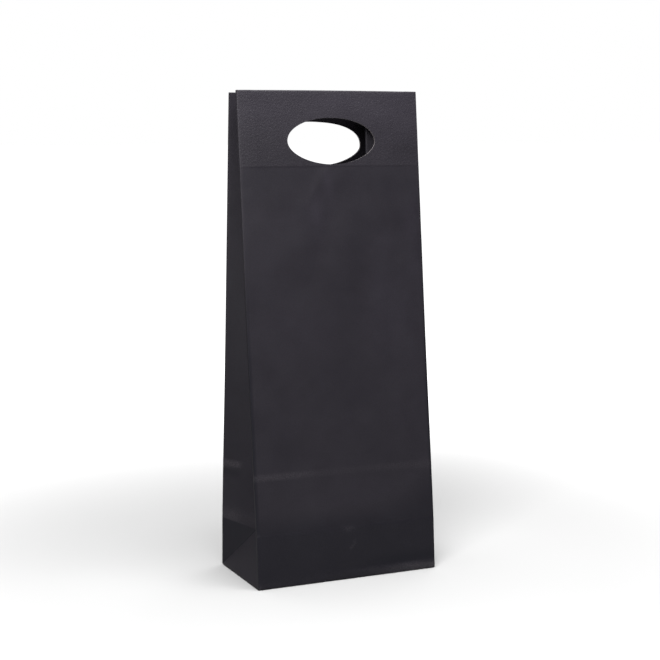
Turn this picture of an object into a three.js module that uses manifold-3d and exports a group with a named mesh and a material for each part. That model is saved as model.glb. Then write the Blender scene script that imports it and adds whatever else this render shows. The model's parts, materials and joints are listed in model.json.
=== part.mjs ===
// Paper wine gift bag with cut hand holes: a block-bottom bag folded from one sheet, with a handle board
// glued behind each mouth edge and a stiff card on its base. Millimetres and degrees. X is the width, the
// front faces -Y, Z is up, and the origin is the middle of the base on the surface that the bag stands on.
import * as THREE from 'three';
import { mergeVertices } from 'three/addons/utils/BufferGeometryUtils.js';
import Module from 'manifold-3d';

const wasm = await Module();
wasm.setup();

// Driving dimensions
const frontWidth = 160; // width of the front and back panels
const baseDepth = 84; // depth of the base, and flat width of each side gusset
const panelLength = 400; // from the base fold to the mouth, along the front panel
const backDrop = 3; // how much lower the back panel's mouth edge and hand hole are
const backHoleTurn = 3.6; // how far the back hand hole is turned in its panel
const frontLean = 5.9; // how far the front panel leans back
const backLean = 3.6; // how far the back panel leans forward
const paper = 0.4; // paper thickness
const boardThickness = 1.0; // handle board thickness
const cardThickness = 1.0; // base card thickness
const holeWidth = 78; // hand hole
const holeHeight = 37.7;
const holeTopMargin = 22.2; // from the mouth to the top of the hand hole
const boardHeight = 61; // handle board, down from the mouth
const boardInset = 13; // handle board and hem, in from the side folds
const hemDepth = 75; // paper turned in at the mouth
const flapLap = 26; // how far the two base flaps overlap
const flapRamp = 1.5; // length of the step where one base flap climbs onto the other
const sideFlapReach = 30; // how far each side flap reaches in over the base
const cardMargin = 5; // base card, in from the side folds
const seamWidth = 16; // glued lap that closes the sheet into a tube
const seamInset = 1; // seam lap, in from the corner fold

// Clearances
const gap = 0.3; // air between sheets that lie on each other
const footGap = 0.15; // between the panels' lower edges and the surface
const cornerReturn = 2.2; // from a panel's face to the line that its gusset half turns about
const pocketClearance = 6.8; // each gusset half stops this far before the middle fold of the gusset
const creaseClearance = 1.4; // each facet of the lower corners stops this far before its slanted folds
const cardClearance = 0.6; // base card to the panels

// Sizes that follow from these
const halfWidth = frontWidth / 2;
const halfDepth = baseDepth / 2;
const bottomHeight = halfDepth; // level of the fold that the flat bag's bottom turns on
const handleStack = paper + gap; // from a panel's face to its handle board
const hemStack = handleStack + boardThickness + gap; // from a panel's face to its hem
const reach = halfDepth - cornerReturn; // width of a gusset half beyond its corner return
const radians = THREE.MathUtils.degToRad;
const paperSteps = 14; // facets along a gusset half
const holeSteps = 14; // facets on each quarter of a hand hole

// The gusset halves turn in more towards the mouth, where the panels come together. This is the angle of a
// gusset half from square to its panel, at a height along the panel, with the panels at their rest lean.
function gussetAngle(height) {
  const lean = radians((frontLean + backLean) / 2);
  const middle = (halfDepth - height * Math.sin(lean)) / Math.cos(lean);
  return Math.acos((middle - cornerReturn) / reach);
}

const lowAngle = gussetAngle(bottomHeight);
const triangleLean = Math.asin((reach * Math.sin(lowAngle)) / bottomHeight);

// Materials
function paperMaterial(color) {
  return new THREE.MeshStandardMaterial({ color, roughness: 0.62, metalness: 0 });
}

function named(name, geometry, material) {
  const mesh = new THREE.Mesh(geometry, material);
  mesh.name = name;
  return mesh;
}

const blackPaper = () => paperMaterial(0x2e2d31);
const greyBoard = () => paperMaterial(0x8d7a63);

// Solids
function closed(geometry) {
  geometry.deleteAttribute('normal');
  geometry.deleteAttribute('uv');
  const merged = mergeVertices(geometry, 1e-4);
  const mesh = new wasm.Mesh({
    numProp: 3,
    vertProperties: new Float32Array(merged.attributes.position.array),
    triVerts: new Uint32Array(merged.index.array),
  });
  return new wasm.Manifold(mesh);
}

function geometryOf(solid) {
  const { numProp, vertProperties, triVerts } = solid.getMesh();
  const positions = new Float32Array((vertProperties.length / numProp) * 3);
  for (let i = 0; i < positions.length / 3; i += 1) {
    positions.set(vertProperties.subarray(i * numProp, i * numProp + 3), i * 3);
  }
  const geometry = new THREE.BufferGeometry();
  geometry.setAttribute('position', new THREE.BufferAttribute(positions, 3));
  geometry.setIndex(new THREE.BufferAttribute(new Uint32Array(triVerts), 1));
  geometry.computeVertexNormals();
  return geometry;
}

// A flat outline in X and Z, thickened along +Y from a given face.
function uprightPlate(outline, face, thickness) {
  const geometry = new THREE.ExtrudeGeometry(outline, {
    depth: thickness,
    bevelEnabled: false,
    curveSegments: holeSteps,
  });
  geometry.rotateX(Math.PI / 2);
  geometry.translate(0, face + thickness, 0);
  return geometry;
}

// A section in Y and Z, extruded along X and centred on X = 0.
function alongWidth(section, width) {
  const geometry = new THREE.ExtrudeGeometry(section, { depth: width, bevelEnabled: false });
  geometry.rotateX(Math.PI / 2);
  geometry.rotateZ(Math.PI / 2);
  geometry.translate(-width / 2, 0, 0);
  return geometry;
}

function outlineOf(points) {
  return new THREE.Shape(points.map(([x, y]) => new THREE.Vector2(x, y)));
}

function rectangle(half, low, high) {
  return outlineOf([[-half, low], [half, low], [half, high], [-half, high]]);
}

function addHandHole(outline, { mouth, holeTurn }) {
  const centre = mouth - holeTopMargin - holeHeight / 2;
  const turn = radians(holeTurn);
  outline.absellipse(0, centre, holeWidth / 2, holeHeight / 2, 0, 2 * Math.PI, false, turn);
  return outline;
}

function withHandHole(outline, face) {
  outline.holes.push(addHandHole(new THREE.Path(), face));
  return outline;
}

// Front and back panels. Each is built upright with its outer face on Y = 0, its inside towards +Y and
// its mouth edge at the height that its face gives.
function panelSheet(face) {
  return uprightPlate(withHandHole(rectangle(halfWidth, footGap, face.mouth), face), 0, paper);
}

function handleBoard(face) {
  const { mouth } = face;
  const outline = rectangle(halfWidth - boardInset, mouth - boardHeight, mouth - paper - gap);
  return uprightPlate(withHandHole(outline, face), handleStack, boardThickness);
}

// The hem runs over the top edge of the handle board and down its back.
function hem(face) {
  const { mouth } = face;
  const inner = hemStack + paper;
  const section = outlineOf([
    [handleStack, mouth - paper],
    [hemStack, mouth - paper],
    [hemStack, mouth - hemDepth],
    [inner, mouth - hemDepth],
    [inner, mouth],
    [handleStack, mouth],
  ]);
  const sheet = closed(alongWidth(section, frontWidth - 2 * boardInset));
  const cutter = addHandHole(new THREE.Shape(), face);
  const punch = closed(uprightPlate(cutter, handleStack - paper, inner + paper));
  return geometryOf(sheet.subtract(punch));
}

function seamLap({ mouth }) {
  const outer = halfWidth - seamInset;
  const top = mouth - hemDepth - gap;
  const outline = outlineOf([
    [-outer, bottomHeight],
    [-outer + seamWidth, bottomHeight],
    [-outer + seamWidth, top],
    [-outer, top],
  ]);
  return uprightPlate(outline, paper + gap, paper);
}

// A gusset half beside the -X edge of its panel: a long strip that turns in more towards the mouth.
function gussetHalf({ mouth }) {
  const low = bottomHeight + gap;
  const width = reach - pocketClearance;
  const height = mouth - low;
  const geometry = new THREE.BoxGeometry(width, paper, height, 1, 1, paperSteps);
  const position = geometry.attributes.position;
  for (let i = 0; i < position.count; i += 1) {
    const along = position.getX(i) + width / 2;
    const inward = paper / 2 - position.getY(i);
    const level = position.getZ(i) + height / 2 + low;
    const angle = gussetAngle(level);
    const x = -halfWidth + along * Math.sin(angle) + inward * Math.cos(angle);
    const y = cornerReturn + along * Math.cos(angle) - inward * Math.sin(angle);
    position.setXYZ(i, x, y, level);
  }
  return geometry;
}

// The facet between a panel's side edge, the bottom fold and the slanted fold to the base corner.
function cornerFacet() {
  const slant = creaseClearance * Math.SQRT2;
  const outline = outlineOf([
    [0, cornerReturn + slant],
    [reach - slant, bottomHeight],
    [0, bottomHeight],
  ]);
  const geometry = uprightPlate(outline, -paper, paper);
  geometry.rotateZ(Math.PI / 2 - lowAngle);
  geometry.translate(-halfWidth, cornerReturn, 0);
  return geometry;
}

// The facet that stands on a side edge of the base, between the two slanted folds, before it leans in.
function baseTriangle() {
  const slant = creaseClearance * Math.SQRT2;
  const outline = outlineOf([
    [-halfDepth + slant + footGap, footGap],
    [halfDepth - slant - footGap, footGap],
    [0, bottomHeight - slant],
  ]);
  const geometry = uprightPlate(outline, 0, paper);
  geometry.rotateZ(-Math.PI / 2);
  return geometry;
}

// Base. Flaps and card stop short of the base triangles, which lean in over them.
const flapHalfWidth = halfWidth - paper - gap - 2 * (paper + gap) * Math.tan(triangleLean);
const sideFlapLevel = 2 * (paper + gap);
const cardLevel = sideFlapLevel + paper + gap;

function frontFlap() {
  const edge = -halfDepth + paper + gap;
  const section = outlineOf([
    [edge, 0],
    [flapLap / 2, 0],
    [flapLap / 2, paper],
    [edge, paper],
  ]);
  return alongWidth(section, 2 * flapHalfWidth);
}

// The back flap steps up onto the front flap where they overlap.
function backFlap() {
  const edge = halfDepth - paper - gap;
  const foot = flapLap / 2 + gap;
  const step = paper + gap;
  const section = outlineOf([
    [edge, 0],
    [edge, paper],
    [foot + flapRamp, paper],
    [foot, paper + step],
    [-flapLap / 2, paper + step],
    [-flapLap / 2, step],
    [foot, step],
    [foot + flapRamp, 0],
  ]);
  return alongWidth(section, 2 * flapHalfWidth);
}

// A side flap at the -X end, its corners folded away at 45 degrees.
function sideFlap() {
  const outer = -flapHalfWidth + sideFlapLevel * Math.tan(triangleLean);
  const edge = halfDepth - paper - 2 * gap;
  const outline = outlineOf([
    [outer, -edge],
    [outer + sideFlapReach, -edge + sideFlapReach],
    [outer + sideFlapReach, edge - sideFlapReach],
    [outer, edge],
  ]);
  const geometry = new THREE.ExtrudeGeometry(outline, { depth: paper, bevelEnabled: false });
  geometry.translate(0, 0, sideFlapLevel);
  return geometry;
}

function baseCard() {
  const width = frontWidth - 2 * cardMargin;
  const depth = baseDepth - 2 * (paper + cardClearance);
  const geometry = new THREE.BoxGeometry(width, depth, cardThickness);
  geometry.translate(0, 0, cardLevel + cardThickness / 2);
  return geometry;
}

// Adds a piece built at the -X side to a group, or its mirror image at the +X side.
function addAtSide(group, mesh, side) {
  mesh.scale.x = side;
  group.add(mesh);
}

const bag = new THREE.Group();

bag.add(named('base_front_flap', frontFlap(), blackPaper()));
bag.add(named('base_back_flap', backFlap(), blackPaper()));
bag.add(named('base_card', baseCard(), greyBoard()));

const sides = [
  { name: 'left', mirror: 1, front: 1, back: -1 },
  { name: 'right', mirror: -1, front: -1, back: 1 },
];
for (const { name, mirror } of sides) {
  addAtSide(bag, named(`base_${name}_flap`, sideFlap(), blackPaper()), mirror);
  const foot = new THREE.Group();
  foot.position.x = -mirror * halfWidth;
  foot.rotation.y = mirror * triangleLean;
  addAtSide(foot, named(`${name}_base_triangle`, baseTriangle(), blackPaper()), mirror);
  bag.add(foot);
}

// The back panel is the front panel's build turned half round, so its -X edge comes on the right.
const faces = [
  { name: 'front', turn: 0, lean: frontLean, mouth: panelLength, holeTurn: 0 },
  {
    name: 'back',
    turn: Math.PI,
    lean: backLean,
    mouth: panelLength - backDrop,
    holeTurn: backHoleTurn,
  },
];
for (const face of faces) {
  const place = new THREE.Group();
  place.rotation.z = face.turn;
  const panel = new THREE.Group();
  panel.position.y = -halfDepth;
  panel.rotation.x = -radians(face.lean);
  panel.add(named(`${face.name}_panel`, panelSheet(face), blackPaper()));
  panel.add(named(`${face.name}_handle_board`, handleBoard(face), greyBoard()));
  panel.add(named(`${face.name}_hem`, hem(face), blackPaper()));
  for (const side of sides) {
    const corner = `${side.name}_${face.name}`;
    const mirror = side[face.name];
    addAtSide(panel, named(`${corner}_gusset`, gussetHalf(face), blackPaper()), mirror);
    addAtSide(panel, named(`${corner}_corner_facet`, cornerFacet(), blackPaper()), mirror);
  }
  if (face.name === 'back') {
    panel.add(named('side_seam_lap', seamLap(face), blackPaper()));
  }
  place.add(panel);
  bag.add(place);
}

export default bag;
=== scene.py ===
import json
import math

import bpy
import numpy as np
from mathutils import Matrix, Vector, noise


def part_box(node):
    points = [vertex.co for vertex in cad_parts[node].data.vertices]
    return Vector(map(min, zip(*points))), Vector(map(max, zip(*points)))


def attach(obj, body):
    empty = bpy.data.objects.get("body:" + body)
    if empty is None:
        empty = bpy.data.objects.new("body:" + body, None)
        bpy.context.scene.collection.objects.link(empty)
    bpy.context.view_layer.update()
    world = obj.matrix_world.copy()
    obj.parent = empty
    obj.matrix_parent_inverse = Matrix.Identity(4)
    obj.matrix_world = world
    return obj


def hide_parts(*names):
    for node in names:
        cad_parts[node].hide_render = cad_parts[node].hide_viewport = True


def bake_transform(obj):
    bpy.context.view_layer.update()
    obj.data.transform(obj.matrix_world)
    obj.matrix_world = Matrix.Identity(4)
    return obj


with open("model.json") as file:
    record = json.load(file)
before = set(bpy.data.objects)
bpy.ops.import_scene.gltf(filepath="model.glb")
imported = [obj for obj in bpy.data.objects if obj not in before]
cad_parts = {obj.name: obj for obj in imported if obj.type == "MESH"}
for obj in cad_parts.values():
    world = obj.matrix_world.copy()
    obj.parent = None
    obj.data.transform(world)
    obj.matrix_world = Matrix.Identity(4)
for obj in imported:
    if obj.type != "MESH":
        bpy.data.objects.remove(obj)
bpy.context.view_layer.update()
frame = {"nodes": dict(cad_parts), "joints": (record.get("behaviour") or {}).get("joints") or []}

mm = 0.001
scene = bpy.context.scene

# Sizes that the frame gives, in millimetres
panelLow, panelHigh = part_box("front_panel")
backLow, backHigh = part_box("back_panel")
jointPlace = {joint["name"]: joint["pos_m"] for joint in frame["joints"]}
halfWidth = round(panelHigh.x / mm, 3)
halfDepth = round(-jointPlace["front_panel_tilt"][1] / mm, 3)
cadPaper = 0.4
frontLean = math.atan2(panelHigh.y - panelLow.y - cadPaper * mm, panelHigh.z)
backLean = math.atan2(backHigh.y - backLow.y - cadPaper * mm, backHigh.z)
frontMouth = panelHigh.z / mm / math.cos(frontLean)    # mouth edges, up the slope of each panel
backMouth = backHigh.z / mm / math.cos(backLean)

bag = {
    "paper": 0.35,          # paper thickness
    "cornerReturn": 2.2,    # from a panel's face to the line that its gusset turns about
    "cornerRadius": 0.6,    # outer radius of the long folds between panel and gusset
    "footRadius": 1.5,      # outer radius of the fold that the bag stands on
    "noseRadius": 0.6,      # radius of the gusset's middle fold
    "tighterFold": 3.6,     # paper that the long folds give up to the gusset at the mouth
    "creaseLevel": halfDepth,   # the fold that the bottom turns on when the bag lies flat
    "flapReach": 13,        # bottom flaps, past the middle of the base
    "flapInset": 1.2,       # how much narrower they are at each end than the panels
    "mouthFold": 1.2,       # depth below the mouth edge where the paper starts to turn in
    "hemDepth": 75,         # paper turned in at the mouth
    "boardHeight": 61,      # handle boards, down from the mouth
    "boardHalf": halfWidth - 13,
    "board": 1.0,           # handle board thickness
    "rowStep": 2.5,         # spacing of the vertices on plain paper
    "mergeDistance": 0.02,  # vertices closer than this are one
    "sharpAngle": 35,       # degrees; edges that turn more stay sharp
}
facetStart = bag["footRadius"] + 0.2    # the lower corners' facets begin just above the foot fold
reach = halfDepth - bag["cornerReturn"]
meanLean = (frontLean + backLean) / 2
apexLength = halfDepth / math.sin(meanLean)   # along the slope to where both panels would meet

faces = {
    "front": {"turn": 1, "lean": frontLean, "skew": 0.85, "mouth": frontMouth},
    "back": {"turn": -1, "lean": backLean, "skew": -0.85, "mouth": backMouth},
}
for sizes in faces.values():
    sizes["hemEnd"] = sizes["mouth"] - bag["hemDepth"]
    sizes["boardEnd"] = sizes["mouth"] - bag["boardHeight"]


def placeOnFace(face, x, y, z):
    # x across, y into the bag and z up the slope of a panel, in millimetres, to scene metres
    turn, lean = faces[face]["turn"], faces[face]["lean"]
    c, s = math.cos(lean), math.sin(lean)
    return np.stack([turn * x, -turn * (halfDepth - y * c - z * s), z * c - y * s], axis=-1) * mm


def readOnFace(face, points):
    # scene metres back to a panel's own x, y and z
    turn, lean = faces[face]["turn"], faces[face]["lean"]
    c, s = math.cos(lean), math.sin(lean)
    world = np.asarray(points) / mm
    depth = halfDepth + turn * world[:, 1]
    return turn * world[:, 0], depth * c - world[:, 2] * s, depth * s + world[:, 2] * c


def ease(low, high, value):
    t = np.clip((np.asarray(value, float) - low) / (high - low), 0, 1)
    return t * t * (3 - 2 * t)


def bump(centre, width, value):
    return np.exp(-(((np.asarray(value, float) - centre) / width) ** 2))


def stations(low, high, step, fine=(), fineStep=0.5, fineReach=3.0):
    # values from low to high, closer together near each fine place
    marks = list(np.linspace(low, high, max(2, int(round((high - low) / step)) + 1)))
    for place in fine:
        start, end = max(low, place - fineReach), min(high, place + fineReach)
        if start < end:
            marks = [m for m in marks if not start < m < end or m in (low, high)]
            marks += list(np.linspace(start, end, int(round((end - start) / fineStep)) + 1))
    marks = sorted(set(round(float(m), 4) for m in marks))
    kept = [marks[0]]
    for mark in marks[1:]:
        if mark - kept[-1] > 0.2 * fineStep:
            kept.append(mark)
    kept[-1] = float(high)
    return np.array(kept)


# Meshes
def pick(piece):
    bpy.ops.object.select_all(action="DESELECT")
    piece.select_set(True)
    bpy.context.view_layer.objects.active = piece


def layFlat(name, across, along):
    # a flat sheet with a line of vertices at every station; gives back the numbers of each
    # vertex's two stations
    bpy.ops.object.select_all(action="DESELECT")
    bpy.ops.mesh.primitive_grid_add(
        x_subdivisions=len(across) - 1, y_subdivisions=len(along) - 1, size=1)
    sheet = bpy.context.object
    sheet.name = name
    sheet.data.name = name
    flat = np.empty(len(sheet.data.vertices) * 3)
    sheet.data.vertices.foreach_get("co", flat)
    flat = flat.reshape(-1, 3)
    columns = np.rint((flat[:, 0] + 0.5) * (len(across) - 1)).astype(int)
    rows = np.rint((flat[:, 1] + 0.5) * (len(along) - 1)).astype(int)
    return sheet, columns, rows


def shapeTo(piece, points):
    piece.data.vertices.foreach_set("co", np.asarray(points, float).ravel())
    piece.data.update()


def faceOutward(piece, outward):
    # doubled vertices are merged, then the faces turn to the side that outward(centre) points to
    pick(piece)
    bpy.ops.object.mode_set(mode="EDIT")
    bpy.ops.mesh.select_all(action="SELECT")
    bpy.ops.mesh.remove_doubles(threshold=bag["mergeDistance"] * mm)
    bpy.ops.mesh.normals_make_consistent(inside=False)
    bpy.ops.object.mode_set(mode="OBJECT")
    agreement = sum(p.normal.dot(outward(p.center)) * p.area for p in piece.data.polygons)
    if agreement < 0:
        piece.data.flip_normals()


def applyModifier(piece, kind, **settings):
    pick(piece)
    modifier = piece.modifiers.new(kind.title(), kind)
    for name, value in settings.items():
        setattr(modifier, name, value)
    bpy.ops.object.modifier_apply(modifier=modifier.name)


def thicken(piece, thickness):
    # the paper gets its thickness on the inner side
    applyModifier(piece, "SOLIDIFY", thickness=thickness * mm, offset=-1, use_even_offset=False)


def finishPaper(piece):
    # smooth over slow curves and sharp at cut edges
    pick(piece)
    bpy.ops.object.shade_smooth_by_angle(angle=math.radians(bag["sharpAngle"]))


def setAttribute(piece, name, values):
    attribute = piece.data.attributes.new(name, "FLOAT", "POINT")
    attribute.data.foreach_set("value", np.asarray(values, np.float32))


def vertexPlaces(piece):
    places = np.empty(len(piece.data.vertices) * 3)
    piece.data.vertices.foreach_get("co", places)
    return places.reshape(-1, 3)


def undulation(x, z, seed, wavelength):
    # slow random rise and fall of hand-folded paper, -1 to 1
    return np.array([
        noise.noise(Vector((a / wavelength, b / (1.6 * wavelength), seed))) for a, b in zip(x, z)])


# Relief of the front and back panels: how far the paper stands out from its flat plane
relief = {
    "mouthBow": 2.6,        # outward bow at the mouth, mid-width
    "bellyEdge": 1.5,       # how far the crease above the bottom stands out at the side folds
    "bellyMiddle": 1.8,     # and how much more at mid-width
    "wave": 0.45,           # rise and fall of the paper
    "waveLength": 80,
    "creaseDepth": 0.14,    # the crease that the bottom turns on
    "creaseRise": 2.5,      # how much higher it runs in the panels than in the gussets
    "boardStep": 0.22,      # step where the handle board ends behind the paper
    "imprintLevel": 2 * halfDepth + 7,  # mark that the folded bottom pressed into the panel
    "imprint": 0.13,
    "holeRidge": 0.34,      # ridge and valley under the hand hole
    "holeValley": 0.42,
    "rightDents": 0.45,
    "leftDent": 0.30,
    "footFlare": 1.3,       # how far the bottom edge turns outward, most at the right
    "hemLoose": 0.5,        # how far the hem's free edge stands off, away from the side folds
}


def edgeBelly(z):
    # the side folds stand out a little where the bottom crease crosses them
    crease = bag["creaseLevel"]
    rising = np.clip(np.asarray(z, float) / crease, 0, 1)
    return relief["bellyEdge"] * rising * (1 - ease(crease, crease + 190, z))


def panelRelief(face, x, z):
    across = np.clip(1 - (x / halfWidth) ** 2, 0, 1)
    crease = bag["creaseLevel"]
    rising = np.clip(z / crease, 0, 1)
    out = edgeBelly(z)
    out = out + relief["bellyMiddle"] * across * rising * (1 - ease(crease, crease + 130, z))
    out = out + relief["mouthBow"] * across ** 0.9 * ease(150, 345, z)
    seed = 3.1 if face == "front" else 8.7
    boardEnd = faces[face]["boardEnd"]
    calm = ease(0, 30, z) * (1 - 0.8 * ease(325, 345, z)) * across ** 0.5
    out = out + relief["wave"] * undulation(x, z, seed, relief["waveLength"]) * calm
    out = out + 0.22 * relief["wave"] * undulation(x, z, seed + 20, relief["waveLength"] / 3) * calm
    out = out - relief["creaseDepth"] * bump(crease + relief["creaseRise"], 0.7, z)
    out = out + relief["boardStep"] * ease(boardEnd - 1.2, boardEnd + 0.6, z) \
        * ease(halfWidth, bag["boardHalf"], np.abs(x))
    if face == "front":
        # pressed mark of the folded bottom, strongest beside the side folds
        side = 0.35 + 0.65 * ease(10, 60, -x) + 0.25 * ease(20, 60, x)
        level = relief["imprintLevel"] - 2.0 * (x + halfWidth) / (2 * halfWidth)
        out = out + relief["imprint"] * side * (bump(level, 3.2, z) - 0.6 * bump(level - 7, 3.0, z))
        # soft ridge and valley that run down from the hand hole
        along = np.clip((337 - z) / 24, -0.3, 1.3)
        out = out + relief["holeRidge"] * bump(-6.6 - 13.4 * along, 4.5, x) \
            * ease(300, 316, z) * (1 - ease(333, 341, z))
        along = np.clip((333 - z) / 101, -0.1, 1.1)
        out = out - relief["holeValley"] * bump(14 - 45 * along, 12, x) \
            * ease(215, 250, z) * (1 - ease(318, 338, z))
        out = out + relief["footFlare"] * ease(9, 2, z) * ease(-60, 70, x) * across ** 0.3
        # dents beside the right-hand fold, and one beside the left-hand fold
        out = out + relief["rightDents"] * bump(68, 9, x) * (
            bump(306, 9, z) + 0.8 * bump(268, 12, z) - 0.7 * bump(287, 8, z))
        out = out - relief["leftDent"] * bump(-76, 5, x) * bump(322, 5, z)
    return out


# The front and back sheets: base flap, foot fold, panel, mouth fold and hem, folded from one strip
def crossSection(across):
    # across is a length over the folds; gives x, y and the inward direction there
    radius = bag["cornerRadius"]
    flat = halfWidth - radius
    length = np.abs(across)
    turn = np.clip((length - flat) / radius, 0, math.pi / 2)
    straight = np.clip(length - flat - radius * math.pi / 2, 0, None)
    x = np.minimum(length, flat) + radius * np.sin(turn)
    y = radius * (1 - np.cos(turn)) + straight
    return np.sign(across) * x, y, -np.sign(across) * np.sin(turn), np.cos(turn)


def hemLayer(x):
    # depth of the hem's face: paper, board, paper, and only two papers beyond the board
    thin, thick = 2 * bag["paper"] + 0.06, 2 * bag["paper"] + bag["board"] + 0.10
    return thin + (thick - thin) * (1 - ease(bag["boardHalf"], bag["boardHalf"] + 3, np.abs(x)))


def foldedSheet(face, name, flapLift):
    turn, lean = faces[face]["turn"], faces[face]["lean"]
    radius, flapReach, mouthFold = bag["cornerRadius"], bag["flapReach"], bag["mouthFold"]
    halfSpan = halfWidth - radius + radius * math.pi / 2 + bag["cornerReturn"] - radius
    corner = halfWidth - radius
    flats = stations(-corner, corner, bag["rowStep"])
    arc = corner + radius * math.pi / 2 * np.array([0.25, 0.5, 0.75, 1.0])
    tail = np.append(arc, halfSpan)
    across = np.concatenate([-tail[::-1], flats, tail])
    foot = bag["footRadius"]
    footUp = foot * (1 + math.sin(lean)) / math.cos(lean)
    footIn = -halfDepth + foot * math.cos(lean) + footUp * math.sin(lean)
    hemEnd, top = faces[face]["hemEnd"], faces[face]["mouth"]
    panelRows = stations(
        footUp, top - mouthFold, bag["rowStep"],
        fine=(bag["creaseLevel"], faces[face]["boardEnd"]), fineStep=0.6, fineReach=3)
    # from the flap's free end back to the foot fold, closer where it climbs onto the other flap
    flapRows = stations(footIn, flapReach, 6, fine=(-flapReach,), fineStep=0.5, fineReach=1.5)
    rows = [("flap", value) for value in flapRows[::-1]]
    rows += [("foot", value) for value in np.linspace(0, 1, 8)[1:]]
    rows += [("panel", value) for value in panelRows[1:]]
    rows += [("mouth", value) for value in np.linspace(0, 1, 9)]
    rows += [("hem", value) for value in stations(hemEnd, top - mouthFold, 3.5)[::-1][1:]]
    sheet, columns, lines = layFlat(name, across, rows)
    span = across[columns]
    x, y, inX, inY = crossSection(span)
    points = np.zeros((len(span), 3))
    for number, (zone, value) in enumerate(rows):
        here = lines == number
        px, py, nx, ny = x[here], y[here], inX[here], inY[here]
        if zone == "flap":
            inset = bag["flapInset"]
            px = np.clip(px, inset - halfWidth, halfWidth - inset)
            inwards = np.full(len(px), value)
            # a lifted flap climbs just short of the other flap's free end
            lift = flapLift * ease(-flapReach - 1.8, -flapReach - 0.3, inwards)
            points[here] = np.stack([turn * px, turn * inwards, lift], axis=-1) * mm
            continue
        if zone == "foot":
            # turns from lying on the surface to standing up the panel's slope
            angle = (math.pi / 2 - lean) * value
            inset = bag["flapInset"] * (1 - value)
            px = np.clip(px, inset - halfWidth, halfWidth - inset)
            depth = py * value ** 2
            footY = footIn - foot * math.sin(angle) + depth * math.sin(angle)
            footZ = foot * (1 - math.cos(angle)) + depth * math.cos(angle)
            points[here] = np.stack([turn * px, turn * footY, footZ], axis=-1) * mm
            continue
        layer = hemLayer(px)
        if zone == "panel":
            height, inward = np.full(len(px), value), 0 * px
        elif zone == "mouth":
            angle = math.pi * value
            bend = layer / 2
            rise = (mouthFold - bend) * min(1, 8 * min(value, 1 - value))
            height = top - mouthFold + rise + bend * math.sin(angle)
            inward = bend * (1 - math.cos(angle))
        else:
            height, inward = np.full(len(px), value), layer
            inward = inward + relief["hemLoose"] * (1 - ease(hemEnd, hemEnd + 10, height)) \
                * ease(0, 60, halfWidth - np.abs(px))
        out = panelRelief(face, px, height)
        points[here] = placeOnFace(face, px + nx * inward, py + ny * inward - out, height)
    shapeTo(sheet, points)
    outwardSide = Vector((0, -turn, 0))

    def outward(centre):
        # judged on the plain part of the panel only
        _, depth, height = readOnFace(face, np.array([centre]))
        plain = 60 < height[0] < 300 and depth[0] < 1
        return outwardSide if plain else Vector((0, 0, 0))

    faceOutward(sheet, outward)
    thicken(sheet, bag["paper"])
    return sheet


# Hand holes
handHole = {
    "width": 78,
    "points": 112,
    "punch": 9.0,           # the cutting block reaches this far to each side of the panel
    # depth of the centre below the mouth edge, height, turn in degrees, and how full the outline's
    # upper and lower halves are: 2 is an ellipse, more is fuller
    "front": {"centre": 41.0, "height": 37.7, "turn": 0, "upper": 2.04, "lower": 1.89},
    "back": {"centre": 41.7, "height": 36.0, "turn": 3.6, "upper": 2.4, "lower": 1.7},
}


def handHolePunch(face):
    # a block with the hole's outline, which cuts every layer in one stroke
    bpy.ops.object.select_all(action="DESELECT")
    bpy.ops.mesh.primitive_cylinder_add(
        vertices=handHole["points"], radius=1, depth=2, end_fill_type="NGON")
    punch = bpy.context.object
    shape = handHole[face]
    places = vertexPlaces(punch)
    angle = np.arctan2(places[:, 1], places[:, 0])
    cosine, sine = np.cos(angle), np.sin(angle)
    power = 2 / np.where(sine >= 0, shape["upper"], shape["lower"])
    across = handHole["width"] / 2 * np.sign(cosine) * np.abs(cosine) ** power
    up = shape["height"] / 2 * np.sign(sine) * np.abs(sine) ** power
    turn = math.radians(shape["turn"])
    x = across * math.cos(turn) - up * math.sin(turn)
    z = across * math.sin(turn) + up * math.cos(turn) + faces[face]["mouth"] - shape["centre"]
    shapeTo(punch, placeOnFace(face, x, np.sign(places[:, 2]) * handHole["punch"], z))
    pick(punch)
    bpy.ops.object.mode_set(mode="EDIT")
    bpy.ops.mesh.select_all(action="SELECT")
    bpy.ops.mesh.normals_make_consistent(inside=False)
    bpy.ops.object.mode_set(mode="OBJECT")
    return punch


def cutHandHole(piece, face):
    punch = handHolePunch(face)
    applyModifier(piece, "BOOLEAN", object=punch, operation="DIFFERENCE", solver="EXACT")
    bpy.data.objects.remove(punch)


def layerSheet(face, name, xRange, zRange, depth, thickness):
    # a flat layer behind a panel that follows the panel's relief
    across = stations(xRange[0], xRange[1], bag["rowStep"])
    along = stations(zRange[0], zRange[1], bag["rowStep"])
    sheet, columns, rows = layFlat(name, across, along)
    x, z = across[columns], along[rows]
    out = panelRelief(face, x, z)
    shapeTo(sheet, placeOnFace(face, x, depth - out, z))
    outwardSide = Vector((0, -faces[face]["turn"], 0))
    faceOutward(sheet, lambda centre: outwardSide)
    thicken(sheet, thickness)
    return sheet


# Gusset halves and the facets of the lower corners
def gussetReach(height):
    # width of a gusset half beyond its corner return; the long folds close up tighter
    # towards the mouth
    return reach + bag["tighterFold"] * ease(60, 320, height)


def gussetAngles(height):
    # angle of a gusset half from square to its panel, and its flat width before the rounded nose
    middle = (apexLength - height) * math.tan(meanLean) - bag["cornerReturn"]
    nose, width = bag["noseRadius"], gussetReach(height)
    angle = np.arccos(np.clip(middle / width, -1, 1))
    for _ in range(12):
        angle = np.arccos(np.clip((middle - nose * np.sin(angle)) / (width - nose * angle), -1, 1))
    return angle, width - nose * angle


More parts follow.
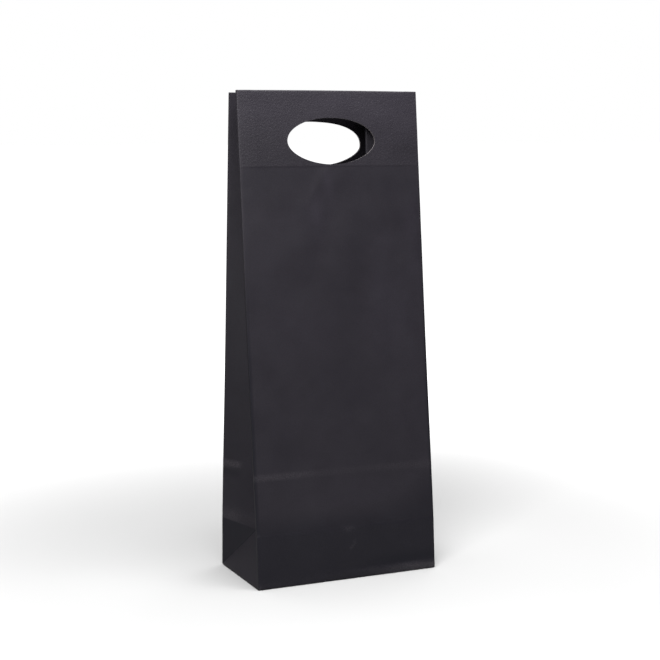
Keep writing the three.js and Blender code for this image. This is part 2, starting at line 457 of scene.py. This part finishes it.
def gussetPoint(share, height):
    # x and y at a share of the width of a gusset half at the -X edge of its panel, and its
    # inward direction
    angle, flat = gussetAngles(height)
    length = share * gussetReach(height)
    nose = bag["noseRadius"]
    turned = np.clip((length - flat) / nose, 0, angle)
    straight = np.minimum(length, flat)
    x = -halfWidth + straight * np.sin(angle) + nose * (np.cos(angle - turned) - np.cos(angle))
    y = bag["cornerReturn"] + straight * np.cos(angle) \
        + nose * (np.sin(angle) - np.sin(angle - turned))
    return x, y, np.cos(angle - turned), -np.sin(angle - turned)


gusset = {
    "wave": 0.35,
    "waveLength": 48,
    "hemDepth": 0.76,       # two papers at the turned-in top
    "mouthFold": 0.5,       # depth below the mouth edge where the paper starts to turn in
    "imprintLevel": 2 * halfDepth + 6,  # mark that the folded bottom pressed into the gusset
    "imprint": 0.30,
    "imprintUnder": 0.34,
}


def gussetRelief(face, side, share, height):
    # stands out from the plain strip; nothing at either fold
    seed = {"front": 31.5, "back": 47.2}[face] + (5 if side == "left" else 11)
    free = np.sin(np.pi * np.clip(share, 0, 1))
    length = share * reach
    calm = ease(bag["creaseLevel"], bag["creaseLevel"] + 40, height)
    out = gusset["wave"] * undulation(length, height, seed, gusset["waveLength"]) * free * calm
    if face == "back":
        level = gusset["imprintLevel"] - 0.05 * length
        near = 1 - ease(14, 24, length)
        out = out + near * (gusset["imprint"] * bump(level, 3.0, height)
                            - gusset["imprintUnder"] * bump(level - 7, 3.2, height))
    return out


def gussetHalf(face, side, mirror):
    skew, top, hemEnd = (faces[face][key] for key in ("skew", "mouth", "hemEnd"))
    crease = bag["creaseLevel"]
    shares = np.concatenate([np.linspace(0, 0.97, 19), np.linspace(0.97, 1, 7)[1:]])
    rows = [("outer", value) for value in stations(
        crease, top - gusset["mouthFold"], bag["rowStep"],
        fine=(crease + 2,), fineStep=0.8, fineReach=2)]
    rows += [("fold", value) for value in np.linspace(0, 1, 7)]
    rows += [("hem", value) for value in stations(hemEnd, top - gusset["mouthFold"], 4)[::-1][1:]]
    piece, columns, lines = layFlat(f"{side}_{face}_gusset_paper", shares, rows)
    bend = gusset["hemDepth"] / 2
    heightAt, inwardAt = [], []
    for zone, value in rows:
        if zone == "outer":
            heightAt.append(value)
            inwardAt.append(0.0)
        elif zone == "fold":
            heightAt.append(top - bend + bend * math.sin(math.pi * value))
            inwardAt.append(bend * (1 - math.cos(math.pi * value)))
        else:
            heightAt.append(value)
            inwardAt.append(gusset["hemDepth"])
    share, inward = shares[columns], np.array(inwardAt)[lines]
    height = np.array(heightAt)[lines]
    # the two halves' mouth edges meet at the middle fold
    height = height + ((frontMouth + backMouth) / 2 - top) * share * ease(240, top - 4, height)
    x, y, nx, ny = gussetPoint(share, height)
    out = gussetRelief(face, side, share, height)
    x = x + nx * (inward - out)
    y = y + ny * (inward - out) - edgeBelly(height) * (1 - share)
    points = placeOnFace(face, mirror * x, y, height + skew * share)
    shapeTo(piece, points)
    outwardSide = Vector((-1 if side == "left" else 1, 0, 0))

    def outward(centre):
        _, _, height = readOnFace(face, np.array([centre]))
        return outwardSide if height[0] < hemEnd - 10 else Vector((0, 0, 0))

    faceOutward(piece, outward)
    thicken(piece, bag["paper"])
    return piece


def facePoint(face, mirror, share, height):
    # a point at a share of the gusset's width, with the edge's belly in it
    x, y, _, _ = gussetPoint(np.array([share]), np.array([max(height, bag["creaseLevel"])]))
    y = y - edgeBelly(np.array([height])) * (1 - share)
    return placeOnFace(face, mirror * x, y, np.array([height]) + faces[face]["skew"] * share)[0]


facetSteps = 16     # rows of vertices in a facet of a lower corner
footRoll = 0.6      # how far the base triangle's lower edge rolls under, in millimetres


def cornerFacet(face, side, mirror):
    crease, steps = bag["creaseLevel"], facetSteps
    share = np.linspace(0, 1, steps + 1)
    piece, columns, rows = layFlat(f"{side}_{face}_corner_facet_paper", share, share)
    apex = facePoint(face, mirror, 1, crease)
    foldEnd = facePoint(face, mirror, 0, facetStart)
    points = np.zeros((len(columns), 3))
    for number in range(steps + 1):
        here = rows == number
        height = facetStart + (crease - facetStart) * share[number]
        nearPoint = facePoint(face, mirror, 0, height)
        farPoint = foldEnd + (apex - foldEnd) * share[number]
        points[here] = nearPoint + (farPoint - nearPoint) * share[columns[here]][:, None]
    shapeTo(piece, points)
    outwardSide = Vector((-1 if side == "left" else 1, 0, 0))
    faceOutward(piece, lambda centre: outwardSide)
    thicken(piece, bag["paper"])
    return piece


def baseTriangle(side):
    # stands on the side edge of the base and leans in between the two slanted folds
    front = {"left": 1, "right": -1}[side]
    crease, steps = bag["creaseLevel"], facetSteps
    across = np.linspace(0, 1, 2 * steps + 1)
    along = np.concatenate([[0.0, 0.35, 0.7], 1 + np.linspace(0, 1, steps + 1)])
    piece, columns, rows = layFlat(f"{side}_base_triangle_paper", across, along)
    apex = (facePoint("front", front, 1, crease) + facePoint("back", -front, 1, crease)) / 2
    nearFoot = facePoint("front", front, 0, facetStart)
    farFoot = facePoint("back", -front, 0, facetStart)
    points = np.zeros((len(columns), 3))
    for number, value in enumerate(along):
        here = rows == number
        if value < 1:
            # the paper rolls from the surface up into the facet
            inset = footRoll * (1 - value) ** 2 * mm
            nearPoint, farPoint = nearFoot.copy(), farFoot.copy()
            nearPoint[2], farPoint[2] = nearFoot[2] * value, farFoot[2] * value
            nearPoint[1] -= footRoll * mm * (1 - value)
            farPoint[1] += footRoll * mm * (1 - value)
            for end in (nearPoint, farPoint):
                end[0] -= math.copysign(inset, end[0])
        else:
            nearPoint = nearFoot + (apex - nearFoot) * (value - 1)
            farPoint = farFoot + (apex - farFoot) * (value - 1)
        points[here] = nearPoint + (farPoint - nearPoint) * across[columns[here]][:, None]
    shapeTo(piece, points)
    outwardSide = Vector((-1 if side == "left" else 1, 0, 0))
    faceOutward(piece, lambda centre: outwardSide)
    thicken(piece, bag["paper"])
    return piece


# Materials
def linear(hexColour):
    # sRGB hex to the linear values that shaders take
    parts = [int(hexColour[i:i + 2], 16) / 255 for i in (1, 3, 5)]
    parts = [c / 12.92 if c <= 0.04045 else ((c + 0.055) / 1.055) ** 2.4 for c in parts]
    return (*parts, 1.0)


def addNode(tree, kind, inputs=None, **settings):
    # inputs holds a value or another node's output for each socket
    node = tree.nodes.new(kind)
    for name, value in settings.items():
        setattr(node, name, value)
    for name, value in (inputs or {}).items():
        if isinstance(value, bpy.types.NodeSocket):
            tree.links.new(value, node.inputs[name])
        else:
            node.inputs[name].default_value = value
    return node


def newMaterial(name):
    material = bpy.data.materials.new(name)
    material.use_nodes = True
    material.node_tree.nodes.clear()
    return material, material.node_tree


blackKraft = {
    "dark": "#1f1c23",
    "light": "#232027",
    "paintedShadeColour": "#02020f",      # colour of the painted shade, where the paper is darkest
    "rubAndHighlightColour": "#4c484d",
    "roughness": 0.50,
    "roughnessSpread": 0.06,
    "mottleSize": 24.0,     # mm, cloudy density of the pulp
    "fibreSize": 0.9,       # mm; real fibres are finer, drawn this coarse to show
    "leatherSize": 1.5,     # mm, glue-puckered paper over the handle boards
    "fibreBump": 0.36,
    "leatherBump": 0.62,
}


def blackKraftPaper(name, specular, depth):
    # Black kraft paper, dyed through and calendered: matt, a soft sheen at a low angle, faint
    # clouds and fibres, and a leathery pucker where it is glued over board. Rubs and painted
    # highlights are a shade greyer; marked paper carries painted light and shade in its colour.
    # The inside is the uncalendered face, so it is duller; depth darkens its colour as painted
    # shade.
    material, tree = newMaterial(name)
    place = addNode(tree, "ShaderNodeTexCoord").outputs["Object"]
    clouds = addNode(tree, "ShaderNodeTexNoise", {
        "Vector": place, "Scale": 1 / (blackKraft["mottleSize"] * mm),
        "Detail": 5.0, "Roughness": 0.6})
    fibres = addNode(tree, "ShaderNodeTexNoise", {
        "Vector": place, "Scale": 1 / (blackKraft["fibreSize"] * mm),
        "Detail": 2.0, "Roughness": 0.6})
    leather = addNode(tree, "ShaderNodeTexNoise", {
        "Vector": place, "Scale": 1 / (blackKraft["leatherSize"] * mm),
        "Detail": 2.0, "Roughness": 0.6})
    zone = addNode(tree, "ShaderNodeAttribute", attribute_name="boardZone").outputs["Fac"]
    rubAndHighlight = addNode(tree, "ShaderNodeAttribute", attribute_name="rubAndHighlight").outputs["Fac"]
    # painted light and shade marked on the mesh: below one darkens the colour, above one lightens
    # it
    marked = addNode(tree, "ShaderNodeAttribute", attribute_name="paintedShading").outputs["Fac"]
    paintedShading = addNode(tree, "ShaderNodeMath", {0: marked, 1: 1.0}, operation="ADD").outputs[0]
    density = addNode(tree, "ShaderNodeMapRange", {
        "Value": clouds.outputs["Fac"], "From Min": 0.3, "From Max": 0.7})
    tone = addNode(tree, "ShaderNodeMix", {
        0: density.outputs[0], 6: linear(blackKraft["dark"]), 7: linear(blackKraft["light"])},
        data_type="RGBA")
    # depth scales the whole colour; below one it is painted shade
    flecks = addNode(tree, "ShaderNodeMapRange", {
        "Value": fibres.outputs["Fac"], "From Min": 0.3, "From Max": 0.7,
        "To Min": 0.87 * depth, "To Max": 1.13 * depth})
    # painted shade: below one the colour mixes towards the painted shade colour
    paintedShadeAmount = addNode(tree, "ShaderNodeMapRange", {
        "Value": paintedShading, "From Min": 0, "From Max": 1, "To Min": 1, "To Max": 0})
    paintedShadeTone = addNode(tree, "ShaderNodeMix", {
        0: paintedShadeAmount.outputs[0], 6: tone.outputs[2], 7: linear(blackKraft["paintedShadeColour"])},
        data_type="RGBA")
    # painted highlight: above one the colour is lightened
    lift = addNode(tree, "ShaderNodeMath", {0: paintedShading, 1: 1.0}, operation="MAXIMUM")
    scale = addNode(tree, "ShaderNodeMath", {
        0: lift.outputs[0], 1: flecks.outputs[0]}, operation="MULTIPLY")
    pressed = addNode(tree, "ShaderNodeVectorMath", {
        0: paintedShadeTone.outputs[2], 3: scale.outputs[0]}, operation="SCALE")
    speckle = addNode(tree, "ShaderNodeMapRange", {
        "Value": fibres.outputs["Fac"], "From Min": 0.3, "From Max": 0.7,
        "To Min": 0.05, "To Max": 0.95})
    # rubs and painted highlights mix in a greyer colour
    rubAndHighlightMix = addNode(tree, "ShaderNodeMath", {0: rubAndHighlight, 1: speckle.outputs[0]}, operation="MULTIPLY")
    colour = addNode(tree, "ShaderNodeMix", {
        0: rubAndHighlightMix.outputs[0], 6: pressed.outputs[0], 7: linear(blackKraft["rubAndHighlightColour"])},
        data_type="RGBA")
    roughness, spread = blackKraft["roughness"], blackKraft["roughnessSpread"]
    gloss = addNode(tree, "ShaderNodeMapRange", {
        "Value": clouds.outputs["Fac"], "To Min": roughness - spread, "To Max": roughness + spread})
    strength = addNode(tree, "ShaderNodeMath", {
        0: zone, 1: blackKraft["leatherBump"]}, operation="MULTIPLY")
    pucker = addNode(tree, "ShaderNodeBump", {
        "Height": leather.outputs["Fac"], "Strength": strength.outputs[0], "Distance": 0.4 * mm})
    grain = addNode(tree, "ShaderNodeBump", {
        "Height": fibres.outputs["Fac"], "Strength": blackKraft["fibreBump"], "Distance": 0.15 * mm,
        "Normal": pucker.outputs["Normal"]})
    surface = addNode(tree, "ShaderNodeBsdfPrincipled", {
        "Base Color": colour.outputs[2], "Roughness": gloss.outputs[0],
        "Specular IOR Level": specular, "Normal": grain.outputs["Normal"]})
    addNode(tree, "ShaderNodeOutputMaterial", {"Surface": surface.outputs[0]})
    return material


greyBoard = {
    "dark": "#6b6668",
    "light": "#8b8586",
    "fleckSize": 1.2,       # mm
    "roughness": 0.85,
}


def pressedBoard():
    # Recycled pulp board, pressed and die-cut: dull and grey, with flecks and a slightly rough face
    material, tree = newMaterial("pressed_recycled_pulp_board_cut")
    place = addNode(tree, "ShaderNodeTexCoord").outputs["Object"]
    flecks = addNode(tree, "ShaderNodeTexNoise", {
        "Vector": place, "Scale": 1 / (greyBoard["fleckSize"] * mm),
        "Detail": 4.0, "Roughness": 0.65})
    tone = addNode(tree, "ShaderNodeMix", {
        0: flecks.outputs["Fac"], 6: linear(greyBoard["dark"]), 7: linear(greyBoard["light"])},
        data_type="RGBA")
    rough = addNode(tree, "ShaderNodeBump", {
        "Height": flecks.outputs["Fac"], "Strength": 0.3, "Distance": 0.15 * mm})
    surface = addNode(tree, "ShaderNodeBsdfPrincipled", {
        "Base Color": tone.outputs[2], "Roughness": greyBoard["roughness"],
        "Normal": rough.outputs["Normal"]})
    addNode(tree, "ShaderNodeOutputMaterial", {"Surface": surface.outputs[0]})
    return material


def dress(piece, material, inside=None, inward=None):
    piece.data.materials.clear()
    piece.data.materials.append(material)
    if inside:
        piece.data.materials.append(inside)
        for part in piece.data.polygons:
            part.material_index = int(part.normal.dot(inward) > 0.3)


# Soft patches of painted light and shade on the front panel, listed one by one:
# x, z, width, height, amount
paintedLightPatches = [
    (-30, 205, 40, 26, 0.14), (-20, 300, 12, 9, 0.10), (-43, 296, 16, 10, 0.10),
    (-62, 266, 16, 18, 0.10), (-2, 318, 5, 20, 0.14), (-14, 292, 7, 16, 0.12),
    (46, 220, 28, 40, 0.24), (70, 292, 8, 16, 0.26), (73, 258, 7, 10, 0.20),
    (46, 276, 9, 11, 0.12), (20, 262, 9, 34, -0.14), (4, 232, 12, 22, -0.12),
    (2, 165, 32, 32, -0.14), (-62, 110, 22, 34, -0.14), (28, 108, 26, 20, -0.08),
    (62, 150, 18, 60, 0.08), (-66, 318, 20, 12, -0.10), (38, 326, 26, 10, -0.08),
    (0, 66, 60, 14, 0.10), (76, 66, 12, 14, -0.16), (-6, 327, 4, 14, 0.30),
    (-17, 306, 6, 15, 0.22), (-52, 350, 26, 12, -0.20), (60, 384, 26, 22, 0.22),
    (8, 392, 26, 7, 0.22), (-55, 386, 18, 9, 0.16), (64, 352, 14, 7, -0.16),
    (-58, 330, 22, 8, -0.12),
]


# rubs and scratches, and painted light and shade
wearAndPaintedLight = {
    "underCreaseShade": 0.46,    # painted shade: how much darker the paper is below the bottom crease, fading out above
    "underCreaseBandShade": 0.16,    # painted shade: and more below the crease itself
    "lowerFoldShade": 0.75,       # painted shade: how much darker the long folds are in their lower half
    "upperFoldRubAndHighlight": 0.26,       # how much greyer they are in their upper half: rubbed paper and a painted highlight
    "footHighlight": 0.62,        # painted highlight: a lighter strip along the bottom edge, most at the right
    "boardHighlight": 0.30,     # painted highlight: lighter paper over the boards, most at the mouth
    "cornerFacet": 0.34,    # painted shade: the lower corners' facets are darker than the panels
    # painted shade: the base triangles a little darker
    "baseTriangle": 0.96,
    "scratch": 0.4,
}


def markPaper(piece, face, kind):
    # each vertex learns whether board lies behind it, its rubs and painted highlights, and its
    # painted light and shade
    x, y, z = readOnFace(face, vertexPlaces(piece))
    mouth, boardEnd, crease = faces[face]["mouth"], faces[face]["boardEnd"], bag["creaseLevel"]
    outer = y < 1.0 if kind == "panel" else np.zeros(len(x), bool)
    zone = ease(boardEnd - 0.8, boardEnd + 0.8, z) * (1.0 if kind == "panel" else 0.25)
    rubAndHighlight, paintedShading = np.zeros(len(x)), np.ones(len(x))
    if kind == "panel":
        crease = crease + relief["creaseRise"]
        # painted shade: under the crease the panel is darker, fading out above it
        slant = 20 * ease(20, 80, x) if face == "front" else 0
        below = wearAndPaintedLight["underCreaseShade"] * (1 - ease(crease - 1, crease + 20 + slant, z)) \
            + wearAndPaintedLight["underCreaseBandShade"] * (z < crease - 0.5)
        edge = halfWidth - np.abs(x)
        # rubbed paper and a painted highlight along the long folds' upper half; painted shade along
        # their lower half
        rubAndHighlight = rubAndHighlight + wearAndPaintedLight["upperFoldRubAndHighlight"] * bump(0, 0.5, edge) * ease(150, 330, z)
        below = np.maximum(below, wearAndPaintedLight["lowerFoldShade"] * ease(1.6, 0.6, edge) * (1 - ease(170, 300, z)))
        # painted highlight: a lighter strip along the bottom edge, most at the right
        foot = z + 1.4 * undulation(x, z, 5.3, 16)
        rubAndHighlight = rubAndHighlight + (0.06 + wearAndPaintedLight["footHighlight"] * ease(0, 72, x)) * ease(8.2, 5.4, foot) * outer
        rubAndHighlight = rubAndHighlight + 0.035 * outer * ((z < crease - 0.5) + 2 * zone)
        # painted highlight along the ridge where the boards end; rubbed paper and a painted
        # highlight along the mouth edge
        rubAndHighlight = rubAndHighlight + 0.10 * bump(boardEnd + 0.6, 0.7, z) * outer
        rubAndHighlight = rubAndHighlight + 0.15 * bump(mouth, 0.9, z)
        rubAndHighlight = rubAndHighlight + 0.5 * bump(0, 2.5, edge) * bump(1, 3, z)
        # painted highlight: lighter over the boards, most at the mouth
        paintedShading = paintedShading + outer * ease(boardEnd - 0.6, boardEnd + 0.6, z) \
            * (0.06 + wearAndPaintedLight["boardHighlight"] * ease(boardEnd, mouth, z))
        # painted shade under the crease and along the long folds' lower half
        paintedShading = paintedShading * (1 - below)
        if face == "front":
            # painted highlight: a lighter band along the pressed mark of the folded bottom
            level = relief["imprintLevel"] - 2.0 * (x + halfWidth) / (2 * halfWidth)
            side = 0.10 + 0.22 * ease(15, 55, -x) + 0.08 * ease(10, 50, x)
            rubAndHighlight = rubAndHighlight + outer * side * ease(3.4, 1.8, np.abs(z - level))
            rubAndHighlight = rubAndHighlight + 0.22 * outer * bump(0, 5, x) * bump(crease - 2, 2.2, z)
            rubAndHighlight = rubAndHighlight + 0.8 * outer * bump(-halfWidth + 1.5, 0.9, x) * bump(crease, 0.9, z)
            # painted shade: a darker band just above the bottom edge, towards the right
            paintedShading = paintedShading - 0.22 * outer * bump(12, 5, z) * ease(0, 50, x)
            # fine scratches below the crease
            for a, b, slope in ((2, 26, 0.5), (4.5, 29, 0.3), (56, 22, -0.9)):
                rubAndHighlight = rubAndHighlight + wearAndPaintedLight["scratch"] * outer * bump(a + slope * (z - b), 0.5, x) \
                    * bump(b, 3.2, z)
            # painted light and shade: soft patches on the front panel
            for a, b, wide, tall, amount in paintedLightPatches:
                paintedShading = paintedShading + outer * amount * bump(a, wide, x) * bump(b, tall, z)
    if kind == "gusset":
        length = np.hypot(halfWidth - np.abs(x), y - bag["cornerReturn"])
        rubAndHighlight = rubAndHighlight + 0.15 * bump(0, 0.8, length)
        # painted shade: the gussets darker towards the bottom, lighter towards the mouth
        paintedShading = paintedShading * (0.88 + 0.22 * ease(150, 330, z))
        if face == "back":
            # painted highlight along the gusset's pressed mark, and painted shade just below it
            near = 1 - ease(12, 20, length)
            rubAndHighlight = rubAndHighlight + 0.6 * near * ease(3.6, 2.2, np.abs(z - gusset["imprintLevel"]))
            paintedShading = paintedShading - 0.3 * near * bump(gusset["imprintLevel"] - 7, 3.4, z)
            rubAndHighlight = rubAndHighlight + 0.4 * bump(crease + 3 + 0.1 * length, 6, z) \
                * (0.4 + 0.6 * (1 - ease(8, 26, length)))
    if kind == "facet":
        # painted shade: the lower corners' facets and the base triangles darker than the panels
        paintedShading = paintedShading * wearAndPaintedLight["cornerFacet" if "corner" in piece.name else "baseTriangle"]
        rubAndHighlight = rubAndHighlight + 0.25 * bump(0, 1.5, z)
    setAttribute(piece, "boardZone", zone)
    setAttribute(piece, "rubAndHighlight", np.clip(rubAndHighlight, 0, 1))
    setAttribute(piece, "paintedShading", paintedShading - 1)    # paper without a mark has no painted light or shade


print("materials")
paperFinish = blackKraftPaper("dyed_black_kraft_paper_calendered", 0.35, 1.0)
# the inside: less gloss, and its colour at 0.3 as painted shade
paintedShadeInsideFinish = blackKraftPaper("dyed_black_kraft_paper_inside_painted_shade", 0.08, 0.3)
boardFinish = pressedBoard()

print("front and back sheets")
layerGap = 0.03    # millimetres between a panel's paper and what is glued behind it
for face, flapLift, replaced in (    # the back flap lies on the front one
        ("front", 0.0, ["front_panel", "front_hem", "base_front_flap"]),
        ("back", cadPaper, ["back_panel", "back_hem", "base_back_flap"])):
    sheet = foldedSheet(face, f"{face}_sheet", flapLift)
    cutHandHole(sheet, face)
    finishPaper(sheet)
    markPaper(sheet, face, "panel")
    dress(sheet, paperFinish, paintedShadeInsideFinish, Vector((0, 1 if face == "front" else -1, 0)))
    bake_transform(sheet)
    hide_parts(*replaced)

    board = layerSheet(
        face, f"{face}_board", (-bag["boardHalf"], bag["boardHalf"]),
        (faces[face]["boardEnd"], faces[face]["mouth"] - 1.0),
        bag["paper"] + layerGap, bag["board"])
    cutHandHole(board, face)
    finishPaper(board)
    dress(board, boardFinish)
    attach(board, f"{face}_panel")
    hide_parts(f"{face}_handle_board")

lap = layerSheet(
    "back", "seam_lap", (-halfWidth + 1.6, -halfWidth + 17),
    (bag["creaseLevel"], faces["back"]["hemEnd"] - 0.5), bag["paper"] + layerGap, bag["paper"])
finishPaper(lap)
markPaper(lap, "back", "lap")
dress(lap, paperFinish)
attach(lap, "back_panel")
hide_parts("side_seam_lap")

print("gussets and lower corners")
# Along the panel, between the values that suit the open mouth and those that suit the closed one
for side in ("left", "right"):
    for face in ("front", "back"):
        mirror = 1 if (side == "left") == (face == "front") else -1
        half = gussetHalf(face, side, mirror)
        finishPaper(half)
        markPaper(half, face, "gusset")
        dress(half, paperFinish)
        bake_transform(half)
        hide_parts(f"{side}_{face}_gusset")

        facet = cornerFacet(face, side, mirror)
        finishPaper(facet)
        markPaper(facet, face, "facet")
        dress(facet, paperFinish)
        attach(facet, f"{side}_{face}_corner_facet")
        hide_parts(f"{side}_{face}_corner_facet")
    foot = baseTriangle(side)
    finishPaper(foot)
    markPaper(foot, "front", "facet")
    dress(foot, paperFinish)
    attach(foot, f"{side}_base_triangle")
    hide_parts(f"{side}_base_triangle")

print("base")
cardLow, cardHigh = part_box("base_card")
bpy.ops.object.select_all(action="DESELECT")
bpy.ops.mesh.primitive_plane_add(size=1, location=(0, 0, cardHigh.z))
card = bpy.context.object
card.name = "card"
pick(card)
bpy.ops.object.mode_set(mode="EDIT")
bpy.ops.mesh.select_all(action="SELECT")
bpy.ops.transform.resize(value=(cardHigh.x - cardLow.x, cardHigh.y - cardLow.y, 1))
bpy.ops.mesh.bevel(offset=3 * mm, segments=5, affect="VERTICES")
bpy.ops.object.mode_set(mode="OBJECT")
bpy.ops.object.transform_apply(location=True, rotation=True, scale=True)
applyModifier(card, "SOLIDIFY", thickness=cardHigh.z - cardLow.z, offset=-1)
applyModifier(card, "BEVEL", width=0.12 * mm, segments=2, limit_method="ANGLE")
finishPaper(card)
dress(card, boardFinish)
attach(card, "base")
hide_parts("base_card")
for name in ("base_left_flap", "base_right_flap"):
    dress(frame["nodes"][name], paperFinish)

print("studio")
studio = {
    "cameraPlace": (-0.5171, -1.1433, 0.3680),
    "cameraYaw": 24.41,     # degrees to the right of straight ahead
    "cameraPitch": 7.55,    # degrees down
    "lens": 83.2,
    "floor": "#cecece",
    "floorGlow": 0.02,      # near the bag; the far floor glows white like a lightbox
    "glowFrom": 0.22,       # metres from the bag
    "glowFull": 0.9,
    "farGlow": 1.05,
    "bounce": 0.30,         # what the floor throws back at the bag, as over a grey sweep
    "world": 0.16,
}
bpy.ops.object.select_all(action="DESELECT")
bpy.ops.mesh.primitive_plane_add(size=60)
floor = bpy.context.object
floor.name = "floor"
# Matt white paint, rolled on: no gloss, an even grey-white near the bag and bright further off
floorFinish, floorTree = newMaterial("matt_white_painted_floor")
floorPlace = addNode(floorTree, "ShaderNodeTexCoord").outputs["Object"]
floorAway = addNode(floorTree, "ShaderNodeVectorMath", {0: floorPlace}, operation="LENGTH")
glow = addNode(floorTree, "ShaderNodeMapRange", {
    "Value": floorAway.outputs["Value"],
    "From Min": studio["glowFrom"], "From Max": studio["glowFull"],
    "To Min": studio["floorGlow"], "To Max": studio["farGlow"]}, interpolation_type="SMOOTHSTEP")
floorSeen = addNode(floorTree, "ShaderNodeBsdfPrincipled", {
    "Base Color": linear(studio["floor"]), "Roughness": 0.9, "Specular IOR Level": 0.1,
    "Emission Color": (1, 1, 1, 1), "Emission Strength": glow.outputs[0]})
floorBounce = addNode(floorTree, "ShaderNodeBsdfDiffuse", {"Color": (*[studio["bounce"]] * 3, 1)})
floorPath = addNode(floorTree, "ShaderNodeLightPath")
floorSurface = addNode(floorTree, "ShaderNodeMixShader", {
    0: floorPath.outputs["Is Camera Ray"], 1: floorBounce.outputs[0], 2: floorSeen.outputs[0]})
addNode(floorTree, "ShaderNodeOutputMaterial", {"Surface": floorSurface.outputs[0]})
dress(floor, floorFinish)

lights = {
    "key_softbox": {
        "place": (-0.85, -1.0, 1.05), "aim": (0, 0, 0.25), "size": (0.7, 0.7), "power": 20},
    "top_softbox": {
        "place": (0.10, -0.40, 1.05), "aim": (0, 0, 0.3), "size": (0.8, 0.5), "power": 9},
    "back_softbox": {
        "place": (0.05, 0.30, 1.5), "aim": (0, 0.05, 0), "size": (1.2, 0.7), "power": 11},
    "rear_fill": {
        "place": (1.1, 1.0, 0.8), "aim": (0, 0, 0.2), "size": (0.8, 0.8), "power": 2.2},
}
for name, light in lights.items():
    bpy.ops.object.light_add(type="AREA", location=light["place"])
    lamp = bpy.context.object
    lamp.name = name
    lamp.data.shape = "RECTANGLE"
    lamp.data.size, lamp.data.size_y = light["size"]
    lamp.data.energy = light["power"]
    towards = Vector(light["aim"]) - Vector(light["place"])
    lamp.rotation_euler = towards.to_track_quat("-Z", "Y").to_euler()

world = bpy.data.worlds.new("white_studio")
scene.world = world
world.use_nodes = True
world.node_tree.nodes.clear()
seen = addNode(world.node_tree, "ShaderNodeBackground", {"Color": (1, 1, 1, 1), "Strength": 1.0})
lit = addNode(world.node_tree, "ShaderNodeBackground", {
    "Color": (1, 1, 1, 1), "Strength": studio["world"]})
path = addNode(world.node_tree, "ShaderNodeLightPath")
both = addNode(world.node_tree, "ShaderNodeMixShader", {
    0: path.outputs["Is Camera Ray"], 1: lit.outputs[0], 2: seen.outputs[0]})
addNode(world.node_tree, "ShaderNodeOutputWorld", {"Surface": both.outputs[0]})
scene.view_settings.view_transform = "Standard"

bpy.ops.object.camera_add(location=studio["cameraPlace"])
camera = bpy.context.object
camera.data.lens = studio["lens"]
camera.data.sensor_width = 36
camera.rotation_euler = (
    math.radians(90 - studio["cameraPitch"]), 0, -math.radians(studio["cameraYaw"]))
scene.camera = camera

print("done")
